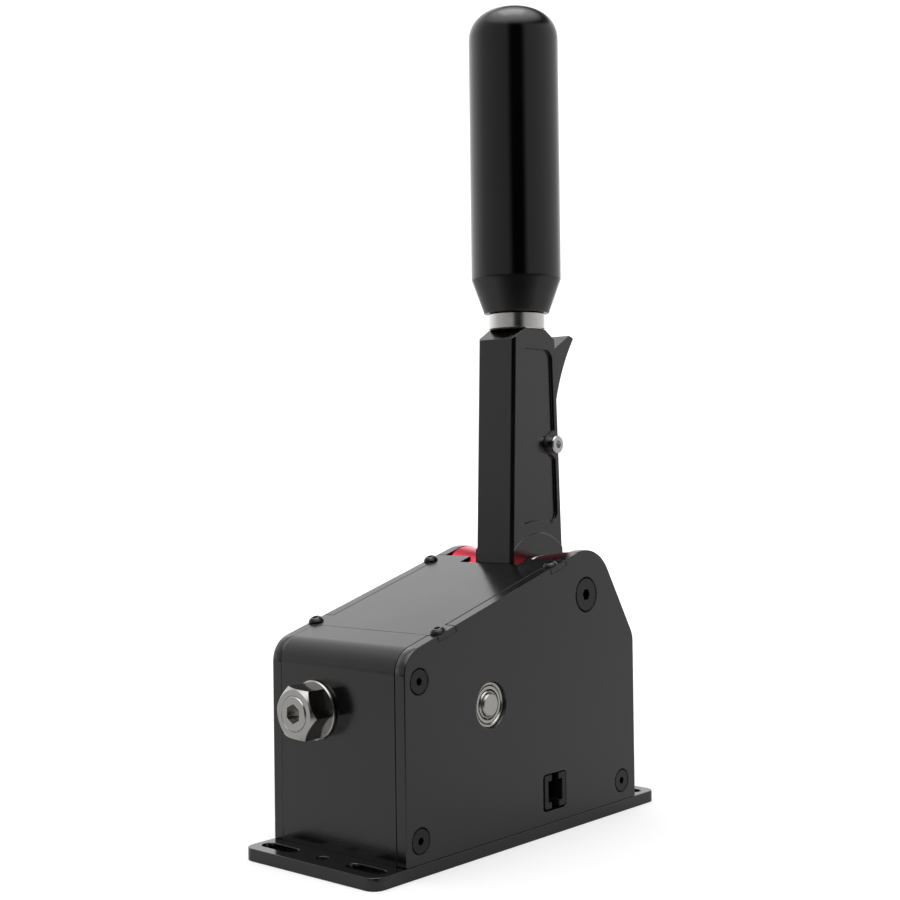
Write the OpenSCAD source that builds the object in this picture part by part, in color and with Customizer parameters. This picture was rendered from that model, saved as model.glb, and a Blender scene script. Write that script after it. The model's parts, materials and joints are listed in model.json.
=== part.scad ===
// Sequential gear shifter. An upright lever swings fore and aft on a pivot axle between two side plates.
// Two link bars carry its swing to a rocker on a cross shaft, which a coiled spring brings back to the middle.
// Millimetres, +Z up, +X to the rear, +Y to the left, origin under the middle of the base plate.
// Heights are measured from the top of the base plate, and lever heights from the pivot axle.

/* [Base plate] */
// Length of the base plate
base_l = 160.4; // [152:0.1:200]
// Width of the base plate, and of the housing on it
base_w = 63.4; // [60:0.1:80]
// Length of the flange in front of the housing and behind it
flange_l = 14.7; // [12:0.1:20]
// Thickness of the base plate
base_t = 4.4; // [3.5:0.1:8]
// Radius of the base plate's corners
base_corner_r = 4.5; // [1:0.5:7]
// Length of a mounting slot, end to end
slot_l = 16.4; // [8:0.1:22]
// Width of a mounting slot
slot_w = 5.4; // [4:0.1:6.4]
// Distance between the two slots of one flange
slot_pitch = 41.2; // [34:0.1:44]
// Diameter of the hole in the middle of each flange
flange_hole_d = 4.2; // [3:0.1:6]

/* [Housing] */
// Thickness of a side plate
plate_t = 4.5; // [4.4:0.1:6]
// Height of the side plates' front corner before rounding
front_h = 68.9; // [64:0.1:74]
// Height of the side plates' rear corner before rounding
rear_h = 63.1; // [60:0.1:68]
// Radius of the side plates' crown round the pivot
crown_r = 16.7; // [16.6:0.1:19]
// Radius of the side plates' front and rear corners
plate_corner_r = 9; // [3:0.5:12]
// Thickness of the front block
front_block_t = 16.3; // [14.5:0.1:19]
// Thickness of the rear wall
rear_wall_t = 14; // [12:0.5:15]
// Height of the rear wall
rear_wall_h = 58; // [30:1:60]
// Thickness of the top cover
cover_t = 2; // [1.5:0.1:3.5]
// Distance of the cover's upper edge in front of the pivot
cover_back = 12.9; // [11:0.1:15]
// Length of a cover ear along the slope
ear_l = 9.3; // [7:0.1:14]

/* [Pivot] */
// Distance of the pivot in front of the side plates' rear edge
pivot_back = 30.6; // [29.5:0.1:33.5]
// Height of the pivot
pivot_h = 81; // [78:0.1:86]
// Diameter of the pivot axle
axle_d = 12; // [10:0.5:12]
// Outer diameter of a hub bearing
hub_bearing_od = 28; // [26:0.5:29]
// Width of a hub bearing
hub_bearing_w = 8; // [6:0.5:8.5]
// Radius of a spacer at the lever
spacer_lever_r = 14; // [12:0.1:16]
// Radius of a spacer at the side plate
spacer_plate_r = 16.5; // [12:0.1:16.6]

/* [Lever] */
// Width of the lever bar across the swing
lever_w = 18.2; // [17:0.1:20]
// Depth of the lever bar at the pivot
lever_hub_d = 33.3; // [32:0.1:34]
// Depth of the lever bar at its top
lever_top_d = 26.2; // [25:0.1:29]
// Height of the lever bar's top
lever_h = 101.4; // [98:0.1:130]
// Chamfer along the lever bar's upright edges
lever_chamfer = 1.2; // [0.5:0.1:2]
// Depth of the pocket in each side face
pocket_depth = 1.1; // [0.5:0.05:2.5]
// Width of the rim in front of the pocket
pocket_rim = 4.2; // [3.5:0.1:6]
// Width of the rim behind the pocket
pocket_rear_rim = 3; // [2.5:0.1:5]
// Thickness of the lower arm
arm_t = 8; // [6:0.5:9]
// Gap between the lower arm's foot and the sensor below it
arm_gap = 5.85; // [4:0.05:12]

/* [Grip] */
// Diameter of the grip
grip_d = 34.9; // [28:0.1:42]
// Length of the grip
grip_l = 119.3; // [80:0.1:150]
// Diameter of the grip's lower end
grip_neck_d = 25.3; // [22:0.1:28]
// Height of the grip's lower cone
grip_cone_h = 13.2; // [6:0.1:20]
// Height of the grip's dome
grip_dome_h = 13.2; // [6:0.1:17]
// Diameter of the collar
collar_d = 21.8; // [18:0.1:26]
// Height of the collar
collar_h = 6.5; // [4:0.1:10]
// Diameter of the grip's stud
stud_d = 10; // [8:0.5:11]

/* [Catch] */
// Width of the catch
catch_w = 10; // [7:0.1:10.6]
// Height of the catch's bolt
catch_h = 56.75; // [54:0.05:60]
// Distance of the catch's bolt behind the lever's middle
catch_x = 10.4; // [10:0.1:11]
// Height of the catch's tip above its bolt
catch_tip_h = 43.85; // [40:0.05:46]
// Radius of the hollow curve of the catch's back
catch_curve_r = 77; // [70:1:90]
// Diameter of the catch's bolt
catch_bolt_d = 4; // [3:0.5:4]

/* [Cross shaft] */
// Distance of the cross shaft behind the side plates' front edge
shaft_back = 43.8; // [42.5:0.1:45.5]
// Height of the cross shaft
shaft_h = 47.2; // [44:0.1:50]
// Diameter of the cross shaft
shaft_d = 8; // [6:0.5:8]
// Outer diameter of a shaft bearing
bearing_od = 16; // [16:0.5:19]
// Width of a shaft bearing
bearing_w = 4; // [3:0.1:4]
// Depth of a shaft bearing below the side plate's face
bearing_recess = 1; // [0.2:0.1:1.2]
// Distance of the link pins from the pivot and from the cross shaft
crank_l = 29; // [28.5:0.1:31]
// Diameter of a link pin
link_pin_d = 6; // [4:0.5:6]

/* [Stop screw] */
// Distance of the stop screw to the left of the middle
stop_y = 10; // [9:0.1:11]
// Diameter of the stop screw
stop_d = 12; // [10:0.5:12]
// Width of the lock nut across its flats
nut_af = 17; // [16.5:0.5:19]
// Thickness of the lock nut
nut_t = 8.8; // [5:0.1:9]
// Diameter of the washer
washer_d = 20.5; // [20:0.5:24]
// Thickness of the washer
washer_t = 1.5; // [1:0.1:3]

/* [Socket] */
// Distance of the socket in front of the pivot
socket_front = 20.65; // [19:0.05:22]
// Height of the socket's middle
socket_h = 11.3; // [10.8:0.1:13]
// Width of the socket
socket_w = 12.4; // [11:0.1:14]
// Height of the socket's face
socket_t = 12.1; // [11.5:0.1:13]
// Depth of the socket
socket_l = 18; // [14:0.5:20]

/* [Fit] */
// Radial clearance of a pin or shaft that turns in a bore
run_gap = 0.05; // [0.02:0.01:0.08]
// Radial clearance of a fastener in its hole
fit_gap = 0.05; // [0.02:0.01:0.1]
// Gap at the seams between the housing's pieces
seam_gap = 0.1; // [0.05:0.05:0.2]
// Gap beside a piece that slides or swings past another
side_gap = 0.3; // [0.25:0.05:0.4]

/* [Hidden] */
$fn = 96;
eps = 0.01;

// Swing of the lever to either side, and pull of the catch
swing = 8;
catch_pull = 7;

// Housing: faces, and the side plates' outline as lines tangent to arcs
rear_x = base_l / 2 - flange_l;
front_x = -rear_x;
side_y = base_w / 2;
inner_y = side_y - plate_t;
flange_x = rear_x + flange_l / 2;
pivot_x = rear_x - pivot_back;
pivot_z = base_t + pivot_h;
front_z = base_t + front_h;
rear_z = base_t + rear_h;
slope_run = pivot_x - front_x;
slope_rise = pivot_z - front_z;
slope_a = atan2(slope_rise, slope_run) + asin(crown_r / norm([slope_run, slope_rise]));
rear_run = rear_x - pivot_x;
rear_rise = pivot_z - rear_z;
rear_a = atan2(rear_rise, rear_run) + asin(crown_r / norm([rear_run, rear_rise]));
front_c = [front_x + plate_corner_r, front_z + plate_corner_r * (tan(slope_a) - 1 / cos(slope_a))];
rear_c = [rear_x - plate_corner_r, rear_z + plate_corner_r * (tan(rear_a) - 1 / cos(rear_a))];
pivot_c = [pivot_x, pivot_z];
slope_n = [-sin(slope_a), cos(slope_a)];
rear_n = [sin(rear_a), cos(rear_a)];

// Screws: diameter, head diameter, countersink diameter, hexagon width, length
m4 = [4, 8, 8.84, 2.5, 14];
m6 = [6, 12, 13.15, 4, 20];
head_rim = 0.3;
head_recess = 0.1;
hex_depth = 2.4;
front_screw_in = 7.1;
rear_screw_in = 9;
low_screw_h = 7.6;
high_screw_h = 59.75;
plate_screw_x = front_x + front_screw_in;
rear_screw_x = rear_x - rear_screw_in;
low_screw_z = base_t + low_screw_h;
high_screw_z = base_t + high_screw_h;
plate_screws = [[plate_screw_x, high_screw_z], [plate_screw_x, low_screw_z], [rear_screw_x, low_screw_z]];
base_screw_y = 10;
base_screw_x = [front_x + front_block_t / 2, rear_x - rear_wall_t / 2];
button_d = 5.5;
button_h = 1.65;
m3_d = 3;
m3_l = 8;
m3_hex = 2;

// Cover: positions along the slope, from the side plates' front corner
cover_u0 = (front_block_t + seam_gap) / cos(slope_a);
cover_u1 = (pivot_x - cover_back - front_x) / cos(slope_a);
ear_starts = [cover_u0, cover_u1 - ear_l];
ear_screw_u = 2.8;
ear_seat = 0.02;
ear_screw_y = side_y - plate_t / 2;
notch_gap = 2.8;
notch_side = 5.1;
cover_rise = crown_r / cos(slope_a) - lever_hub_d / 2 * tan(slope_a);
notch_x = pivot_x - lever_half(cover_rise) - notch_gap;

// Lever bar: half depth at a height above the pivot, and its roof
function lever_half(h) = (lever_hub_d + (lever_top_d - lever_hub_d) * h / lever_h) / 2;
taper_a = atan2((lever_hub_d - lever_top_d) / 2, lever_h);
lever_y = lever_w / 2;
hub_r = lever_half(0) * cos(taper_a);
roof_w = 12.6;
chamfer_h = 2;
chamfer_cut = lever_chamfer * sqrt(2);
roof_drop = 4.2;
hub_face_r = 22.4;
hub_rise = 0.4;
hub_face_steps = 60;
bearing_proud = 1;
hub_face_y = lever_y + hub_rise;
hub_y = hub_face_y + bearing_proud;
spacer_neck = 0.4;
spacer_rim = 0.5;
pocket_top_in = 7.8;
pocket_top = lever_h - pocket_top_in;
pocket_arc_r = 27.4;
pocket_low_r = 4;
pocket_low_in = 0.12;
pocket_low_steps = 6;
pocket_corner_r = 4;
boss_r = 4;
boss_a = 35.5;
boss_ease = 0.95;
arm_half = 6.5;
arm_tip_half = 5;
magnet_d = 5.6;
magnet_l = 4;
stud_in_lever = 10.5;
stud_in_grip = 36;
hub_web = 1.5;
hub_web_r = hub_bearing_od / 2 - hub_web;

// Grip and collar
lever_top_z = pivot_z + lever_h;
grip_z = lever_top_z + collar_h;
grip_top_z = grip_z + grip_l;
dome_power = 2.3;
dome_steps = 24;
collar_chamfer = 0.5;

// Catch: outline from its bolt, with the bolt as origin
catch_c = [pivot_x + catch_x, pivot_z + catch_h];
catch_hub_r = 3.5;
catch_back = 5.5;
catch_tail = 5;
catch_curve_low = 2.15;
catch_curve_c = [catch_back + catch_curve_r, -catch_curve_low];
catch_front_a = 9.5;
catch_top_a = 30.2;
catch_top_x = 17;
catch_tip_r = 1.4;
catch_lip_l = 2.2;
catch_lip = catch_top_x + catch_lip_l;
catch_slot_gap = 0.4;
catch_slot_x = catch_c.x - catch_hub_r - catch_slot_gap;
catch_slot_low = 9;
catch_slot_y = catch_w / 2 + side_gap;
bolt_head_d = 7;
bolt_head_h = 2.6;
bolt_hex = 3;
bolt_nut_af = 7;
bolt_nut_h = 3.2;
catch_spring_h = 24;
catch_spring_d = 4.8;
catch_spring_bore = 7;
catch_wire = 0.7;
catch_turns = 6;
switch_size = [5.8, 5.6, 12.8];
switch_h = 14;
switch_button_d = 1.6;
switch_button_l = 0.8;

// Cross shaft, rocker and links
shaft_x = front_x + shaft_back;
shaft_z = base_t + shaft_h;
shaft_c = [shaft_x, shaft_z];
shaft_end = 0.1;
shaft_chamfer = 0.4;
rocker_hub_r = 6.5;
eye_r = 6;
link_t = 3;
link_half = 4;
link_y = arm_t / 2 + side_gap;
pin_clip_t = 0.8;
pin_clip_rim = 2;
pin_clip_r = link_pin_d / 2 + pin_clip_rim;
pin_clip_y = link_y + link_t + side_gap;
pin_end = 0.6;
lever_pin = pivot_c - [0, crank_l];
rocker_pin = shaft_c - [0, crank_l];
disc_r = 12.5;
disc_t = 7;
disc_notch_r = 7;
tip_a = 18;
notch_ease = 2;
notch_a = tip_a + swing + notch_ease;
tip_reach = 8.5;
tip_base = 12;
tip_shank_d = 5;
tip_shank_l = 8;
stop_hex = 6;
stop_hex_depth = 6;
stop_proud = 0.3;
stop_x = shaft_x - tip_base - seam_gap;
stop_end_x = front_x - washer_t - nut_t - stop_proud;
nut_turn = 36;
nut_bevel_a = 40;
nut_face = 0.95;
nut_over = 0.2;
nut_sink = 0.15;
stop_rim = 0.3;
stop_hex_turn = -5;
clip_t = 0.9;
clip_depth = 0.25;
clip_rim = 2;
bearing_y = side_y - bearing_recess - bearing_w;
clip_y = min(inner_y, bearing_y) - side_gap;

// Return spring: a coil round the rocker's hub with two straight legs to the front
coil_r = 9;
wire_r = 0.9;
coil_turns = 3.5;
coil_pitch = 2.6;
coil_y = -8.2;
coil_end_y = coil_y - coil_turns * coil_pitch;
wire_sides = 6;
turn_steps = 16;
leg_gap = 0.2;
leg_grip = coil_r - wire_r - leg_gap;
coil_side = 0.8;
hub_end_y = coil_end_y - wire_r - coil_side;
finger_t = 3.2;
finger_r = 8;
finger_in = 11.4;
finger_out = 14.4;
finger_y = coil_y + wire_r + coil_side;
bracket_t = 4;
bracket_x = front_x + front_block_t;
leg_end = 2.2;
leg_l = shaft_x - bracket_x - bracket_t - leg_end;
bracket_nose_x = shaft_x - norm([finger_out, leg_grip]);
bracket_edge = 3;
bracket_screw_dz = 11;
bracket_half = 14;
grub_d = 3;
grub_right = 6;
grub_in = 0.1;
grub_y = [-grub_right, hub_end_y - finger_t / 2 - seam_gap];
grub_r = [rocker_hub_r - grub_in, finger_r - grub_in];

// Bearings: radii of the rings, balls and shields
hub_inner_t = 2.3;
hub_outer_t = 2.2;
hub_inner_r = axle_d / 2 + hub_inner_t;
hub_outer_r = hub_bearing_od / 2 - hub_outer_t;
hub_balls = 10;
shaft_inner_t = 0.96;
shaft_outer_t = 1.3;
shaft_inner_r = shaft_d / 2 + shaft_inner_t;
shaft_outer_r = bearing_od / 2 - shaft_outer_t;
shaft_balls = 9;
ball_gap = 0.1;
ring_chamfer = 0.35;
shield_t = 0.35;
shield_in = 0.3;
shield_gap = 0.45;
shield_seam = 0.3;

// Socket and circuit board
socket_x = pivot_x - socket_front;
socket_z = base_t + socket_h;
socket_gap = 0.55;
window_shift = [-0.25, -0.2];
socket_in = 0.05;
socket_corner_r = 0.8;
core_w = 8.4;
core_h = 7.8;
core_l = 12.5;
latch_w = [4.2, 4.6];
latch_l = 4;
contact_count = 6;
contact_pitch = 1.02;
contact_t = 0.5;
contact_l = 5;
board_t = 1.6;
board_top = socket_z - socket_t / 2;
board_front = 9;
board_rear = 10;
board_side = 2;
board_x0 = socket_x - board_front;
board_x1 = pivot_x + board_rear;
board_y0 = -inner_y + board_side;
board_y1 = 12;
board_hole_in = 3.6;
standoff_d = 6;
chip_size = [7, 7, 1];
sensor_size = [4, 3, 1.5];
chip_back = 4;
chip_x = socket_x + chip_back;
chip_y = 4;
arm_l = pivot_z - board_top - sensor_size.z - arm_gap;

// Shapes that repeat

// A flat outline in X and Z, as thick as the stretch of Y between two values
module along_y(y_from, y_to) {
    translate([0, y_to, 0]) rotate([90, 0, 0]) linear_extrude(y_to - y_from) children();
}

// A cylinder along Y at a point of the X-Z plane
module y_rod(c, y_from, y_to, r) {
    along_y(y_from, y_to) translate(c) circle(r);
}

// A piece drawn with its face up, laid into a side face: 1 is the left side, -1 the right
module at_side(side, c) {
    translate([c.x, side * side_y, c.y]) rotate([-90 * side, 0, 0]) children();
}

// A piece drawn along +Z, turned to run from the middle towards one side
module out_to(side, c, y) {
    translate([c.x, side * y, c.y]) rotate([-90 * side, 0, 0]) children();
}

// A piece drawn on a level plane, laid on the cover's slope
module on_slope() {
    translate([front_x, 0, front_z]) rotate([0, -slope_a, 0]) children();
}

module ring(r_out, r_in, h) {
    difference() {
        cylinder(h = h, r = r_out);
        translate([0, 0, -eps]) cylinder(h = h + 2 * eps, r = r_in);
    }
}

module hex_hole(af, depth) {
    translate([0, 0, -depth]) cylinder(h = depth + eps, d = af / cos(30), $fn = 6);
}

// A countersunk screw, its face at z = 0 and its shank below
module csk_screw(size) {
    slant = (size[1] - size[0]) / 2;
    profile = [[0, 0], [size[1] / 2, 0], [size[1] / 2, -head_rim], [size[0] / 2, -head_rim - slant],
        [size[0] / 2, -size[4]], [0, -size[4]]];
    translate([0, 0, -head_recess]) difference() {
        rotate_extrude() polygon(profile);
        hex_hole(size[3], hex_depth);
    }
}

// The hole for a countersunk screw
module csk_hole(size) {
    bore_r = size[0] / 2 + fit_gap;
    rim = head_rim + head_recess;
    slant = size[2] / 2 - bore_r;
    profile = [[0, 1], [size[2] / 2, 1], [size[2] / 2, -rim], [bore_r, -rim - slant],
        [bore_r, -size[4] - 1], [0, -size[4] - 1]];
    rotate_extrude() polygon(profile);
}

// A button head screw, its seat at z = 0
module button_screw(length) {
    crown = button_h - 0.5;
    profile = [[0, -length], [m3_d / 2, -length], [m3_d / 2, 0], [button_d / 2, 0], [button_d / 2, 0.5],
        [button_d * 0.42, 0.5 + crown * 0.55], [button_d * 0.3, button_h], [0, button_h]];
    difference() {
        rotate_extrude() polygon(profile);
        translate([0, 0, button_h]) hex_hole(m3_hex, button_h - 0.3);
    }
}

// A ring of balls about Z, in the plane z = 0
module ball_ring(count, pitch_r, r) {
    for (i = [0 : count - 1]) rotate([0, 0, i * 360 / count]) translate([pitch_r, 0, 0]) sphere(r);
}

// A bearing ring with chamfered rims
module bearing_ring(r_out, r_in, h) {
    c = ring_chamfer;
    profile = [[r_in + c, 0], [r_out - c, 0], [r_out, c], [r_out, h - c], [r_out - c, h], [r_in + c, h],
        [r_in, h - c], [r_in, c]];
    rotate_extrude() polygon(profile);
}

// Points of an outline with its corners rounded
function arc_corner(a, b, c, r, steps) =
    let (u = (a - b) / norm(a - b), v = (c - b) / norm(c - b), half = acos(u * v) / 2,
        mid = (u + v) / norm(u + v), m = b + mid * r / sin(half),
        p = b + u * r / tan(half) - m, q = b + v * r / tan(half) - m, sweep = 180 - 2 * half)
    [for (i = [0 : steps])
        m + p * sin(sweep * (1 - i / steps)) / sin(sweep) + q * sin(sweep * i / steps) / sin(sweep)];
function rounded(points, radii, steps = 8) =
    [for (i = [0 : len(points) - 1], p = arc_corner(points[(i + len(points) - 1) % len(points)], points[i],
        points[(i + 1) % len(points)], radii[i], steps)) p];

// A round wire through points, each with the two directions that its rings span
module wire(points, normals, across, r) {
    count = len(points);
    last = (count - 1) * wire_sides;
    rings = [for (i = [0 : count - 1], k = [0 : wire_sides - 1])
        let (a = 360 * k / wire_sides) points[i] + r * (cos(a) * normals[i] + sin(a) * across)];
    walls = [for (i = [0 : count - 2], k = [0 : wire_sides - 1], half = [0, 1])
        let (k2 = (k + 1) % wire_sides, a = i * wire_sides, b = a + wire_sides)
        half == 0 ? [a + k, a + k2, b + k] : [a + k2, b + k2, b + k]];
    ends = [for (k = [1 : wire_sides - 2], end = [0, 1])
        end == 0 ? [0, k + 1, k] : [last, last + k, last + k + 1]];
    polyhedron(rings, concat(walls, ends));
}

// Housing

module housing_body(y_from, y_to) {
    along_y(y_from, y_to) polygon([[front_x, base_t], [front_x, front_c.y], front_c + plate_corner_r * slope_n,
        pivot_c + crown_r * slope_n, pivot_c + crown_r * rear_n, rear_c + plate_corner_r * rear_n,
        [rear_x, rear_c.y], [rear_x, base_t]]);
    y_rod(front_c, y_from, y_to, plate_corner_r);
    y_rod(pivot_c, y_from, y_to, crown_r);
    y_rod(rear_c, y_from, y_to, plate_corner_r);
}

module slot(length, width) {
    square([width, length - width], center = true);
    for (end = [-1, 1]) translate([0, end * (length - width) / 2]) circle(d = width);
}

module base_plate() {
    color("dimgray") difference() {
        linear_extrude(base_t) difference() {
            union() {
                square([base_l, base_w - 2 * base_corner_r], center = true);
                square([base_l - 2 * base_corner_r, base_w], center = true);
                for (x = [-1, 1], y = [-1, 1])
                    translate([x * (base_l / 2 - base_corner_r), y * (base_w / 2 - base_corner_r)])
                        circle(base_corner_r);
            }
            for (x = [-1, 1]) {
                for (y = [-1, 1]) translate([x * flange_x, y * slot_pitch / 2]) slot(slot_l, slot_w);
                translate([x * flange_x, 0]) circle(d = flange_hole_d);
            }
        }
        for (x = base_screw_x, y = [-1, 1])
            translate([x, y * base_screw_y, 0]) rotate([180, 0, 0]) csk_hole(m4);
        for (p = board_holes()) translate([p.x, p.y, base_t / 2]) cylinder(h = base_t, d = m3_d + 2 * fit_gap);
    }
}

module side_plate(side) {
    color("dimgray") difference() {
        housing_body(min(side * inner_y, side * side_y), max(side * inner_y, side * side_y));
        for (c = plate_screws) at_side(side, c) csk_hole(m4);
        at_side(side, pivot_c) csk_hole(m6);
        at_side(side, shaft_c) translate([0, 0, -plate_t - 1])
            cylinder(h = plate_t + 2, d = bearing_od + 2 * fit_gap);
        on_slope() for (u = ear_starts)
            translate([u - seam_gap, side * (side_y + inner_y) / 2 - plate_t, -cover_t - ear_seat])
                cube([ear_l + 2 * seam_gap, 2 * plate_t, cover_t + plate_corner_r]);
        cover_screw_places(side) translate([0, 0, -m3_l - 1]) cylinder(h = m3_l + 1, d = m3_d + 2 * fit_gap);
        if (side < 0) along_y(-side_y - 1, -inner_y + 1) translate(window_shift) socket_outline(socket_gap);
    }
}

module left_side_plate() {
    side_plate(1);
}

module right_side_plate() {
    side_plate(-1);
}

module front_block() {
    block_y = inner_y - seam_gap;
    color("dimgray") difference() {
        intersection() {
            housing_body(-block_y, block_y);
            translate([front_x, -side_y, 0]) cube([front_block_t, base_w, pivot_z]);
        }
        for (side = [-1, 1], z = [low_screw_z, high_screw_z]) at_side(side, [plate_screw_x, z]) csk_hole(m4);
        for (y = [-1, 1]) translate([base_screw_x[0], y * base_screw_y, 0]) rotate([180, 0, 0]) csk_hole(m4);
        translate([front_x - 1, stop_y, shaft_z]) rotate([0, 90, 0])
            cylinder(h = front_block_t + 2, r = stop_d / 2 + run_gap);
        bracket_screw_places() translate([0, 0, -m3_l]) cylinder(h = m3_l, d = m3_d + 2 * fit_gap);
    }
}

module rear_wall() {
    wall_y = inner_y - seam_gap;
    color("dimgray") difference() {
        translate([rear_x - rear_wall_t, -wall_y, base_t]) cube([rear_wall_t, 2 * wall_y, rear_wall_h]);
        for (side = [-1, 1]) at_side(side, [rear_screw_x, low_screw_z]) csk_hole(m4);
        for (y = [-1, 1]) translate([base_screw_x[1], y * base_screw_y, 0]) rotate([180, 0, 0]) csk_hole(m4);
    }
}

module cover_screw_places(side) {
    on_slope() for (u = ear_starts) translate([u + ear_screw_u, side * ear_screw_y, 0]) children();
}

module top_cover() {
    cover_y = inner_y - seam_gap;
    notch_u = (notch_x - front_x) / cos(slope_a);
    notch_half = lever_y + notch_side;
    color("gray") difference() {
        on_slope() {
            translate([cover_u0, -cover_y, -cover_t]) cube([cover_u1 - cover_u0, 2 * cover_y, cover_t]);
            for (u = ear_starts) translate([u, -side_y, -cover_t]) cube([ear_l, base_w, cover_t]);
        }
        on_slope() translate([notch_u, -notch_half, -2 * cover_t])
            cube([cover_u1 - notch_u + 1, 2 * notch_half, 3 * cover_t]);
        for (side = [-1, 1]) cover_screw_places(side)
            translate([0, 0, -2 * cover_t]) cylinder(h = 3 * cover_t, d = m3_d + 2 * fit_gap);
    }
}

module cover_screws() {
    color("black") for (side = [-1, 1]) cover_screw_places(side) button_screw(m3_l);
}

module side_plate_screws() {
    color("black") for (side = [-1, 1], c = plate_screws) at_side(side, c) csk_screw(m4);
}

module pivot_screws() {
    color("black") for (side = [-1, 1]) at_side(side, pivot_c) csk_screw(m6);
}

module base_screws() {
    color("black") for (x = base_screw_x, y = [-1, 1])
        translate([x, y * base_screw_y, 0]) rotate([180, 0, 0]) csk_screw(m4);
}

// Pivot

module pivot_axle() {
    axle_y = inner_y - seam_gap;
    color("silver") difference() {
        y_rod(pivot_c, -axle_y, axle_y, axle_d / 2);
        for (side = [-1, 1]) at_side(side, pivot_c) csk_hole(m6);
    }
}

// A spacer cone between the lever's hub bearing and a side plate
module spacer(side) {
    length = inner_y - hub_y - 2 * seam_gap;
    bore_r = axle_d / 2 + fit_gap;
    profile = [[bore_r, 0], [hub_inner_r, 0], [hub_inner_r, spacer_neck],
        [spacer_lever_r - spacer_rim, spacer_neck], [spacer_lever_r, spacer_neck + spacer_rim],
        [spacer_plate_r, length], [bore_r, length]];
    color("crimson") out_to(side, pivot_c, hub_y + seam_gap) rotate_extrude() polygon(profile);
}

module left_spacer() {
    spacer(1);
}

module right_spacer() {
    spacer(-1);
}

module hub_bearing_places() {
    for (side = [-1, 1]) out_to(side, pivot_c, hub_y - hub_bearing_w) children();
}

module hub_bearing_inner_rings() {
    color("silver") hub_bearing_places() bearing_ring(hub_inner_r, axle_d / 2 + fit_gap, hub_bearing_w);
}

module hub_bearing_outer_rings() {
    color("silver") hub_bearing_places() bearing_ring(hub_bearing_od / 2, hub_outer_r, hub_bearing_w);
}

module hub_bearing_balls() {
    color("silver") hub_bearing_places() translate([0, 0, hub_bearing_w / 2])
        ball_ring(hub_balls, (hub_inner_r + hub_outer_r) / 2, (hub_outer_r - hub_inner_r) / 2 - ball_gap);
}

// Cross shaft

module shaft_bearing_places() {
    for (side = [-1, 1]) out_to(side, shaft_c, bearing_y) children();
}

module shaft_bearing_outer_rings() {
    color("silver") shaft_bearing_places() bearing_ring(bearing_od / 2, shaft_outer_r, bearing_w);
}

module shaft_bearing_inner_rings() {
    color("silver") shaft_bearing_places() bearing_ring(shaft_inner_r, shaft_d / 2 + fit_gap, bearing_w);
}

module shaft_bearing_shields() {
    color("gray") shaft_bearing_places() for (z = [shield_in, bearing_w - shield_in - shield_t])
        translate([0, 0, z]) ring(shaft_outer_r - shield_seam, shaft_inner_r + shield_gap, shield_t);
}

module shaft_bearing_balls() {
    color("silver") shaft_bearing_places() translate([0, 0, bearing_w / 2])
        ball_ring(shaft_balls, (shaft_inner_r + shaft_outer_r) / 2,
            (shaft_outer_r - shaft_inner_r) / 2 - ball_gap);
}

module cross_shaft() {
    half = side_y - shaft_end;
    r = shaft_d / 2;
    color("silver") difference() {
        out_to(1, shaft_c, -half) rotate_extrude() polygon([[0, 0], [r - shaft_chamfer, 0], [r, shaft_chamfer],
            [r, 2 * half - shaft_chamfer], [r - shaft_chamfer, 2 * half], [0, 2 * half]]);
        for (side = [-1, 1]) out_to(side, shaft_c, clip_y - clip_t - fit_gap)
            ring(shaft_d, r - clip_depth, clip_t + 2 * fit_gap);
    }
}

module shaft_circlips() {
    color("dimgray") for (side = [-1, 1]) out_to(side, shaft_c, clip_y - clip_t)
        ring(shaft_d / 2 + clip_rim, shaft_d / 2 - clip_depth + fit_gap, clip_t);
}

// An arm between two eyes in the X-Z plane
module eye_arm(a, b, half, y_from, y_to) {
    d = (b - a) / norm(b - a);
    n = [-d.y, d.x] * half;
    along_y(y_from, y_to) polygon([a + n, b + n, b - n, a - n]);
    y_rod(a, y_from, y_to, eye_r);
    y_rod(b, y_from, y_to, eye_r);
}

module rocker() {
    color("slategray") difference() {
        union() {
            y_rod(shaft_c, hub_end_y, stop_y + disc_t / 2, rocker_hub_r);
            eye_arm(shaft_c, rocker_pin, link_half, -arm_t / 2, arm_t / 2);
            along_y(stop_y - disc_t / 2, stop_y + disc_t / 2) translate(shaft_c) difference() {
                circle(disc_r);
                polygon(2 * disc_r * [[0, 0], [-cos(notch_a), sin(notch_a)], [-cos(notch_a), -sin(notch_a)]]);
            }
            y_rod(shaft_c, stop_y - disc_t / 2, stop_y + disc_t / 2, disc_notch_r);
        }
        y_rod(shaft_c, hub_end_y - 1, stop_y + disc_t, shaft_d / 2 + fit_gap);
        y_rod(rocker_pin, -arm_t, arm_t, link_pin_d / 2 + fit_gap);
        grub_place(0) cylinder(h = disc_r, d = grub_d + 2 * fit_gap);
    }
}

module grub_place(i) {
    translate([shaft_x, grub_y[i], shaft_z]) children();
}

module rocker_set_screws() {
    color("black") for (i = [0, 1]) grub_place(i) difference() {
        translate([0, 0, shaft_d / 2 + fit_gap]) cylinder(h = grub_r[i] - shaft_d / 2 - fit_gap, d = grub_d);
        translate([0, 0, grub_r[i]]) hex_hole(m3_hex * 0.75, 1);
    }
}

module spring_finger() {
    y_to = hub_end_y - seam_gap;
    color("slategray") difference() {
        union() {
            y_rod(shaft_c, y_to - finger_t, y_to, finger_r);
            translate([shaft_x - finger_out, y_to - finger_t, shaft_z - leg_grip])
                cube([finger_out, finger_t, 2 * leg_grip]);
            translate([shaft_x - finger_out, y_to - finger_t, shaft_z - leg_grip])
                cube([finger_out - finger_in, finger_y - y_to + finger_t, 2 * leg_grip]);
        }
        y_rod(shaft_c, y_to - 2 * finger_t, y_to + finger_t, shaft_d / 2 + fit_gap);
        grub_place(1) cylinder(h = disc_r, d = grub_d + 2 * fit_gap);
    }
}

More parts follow.
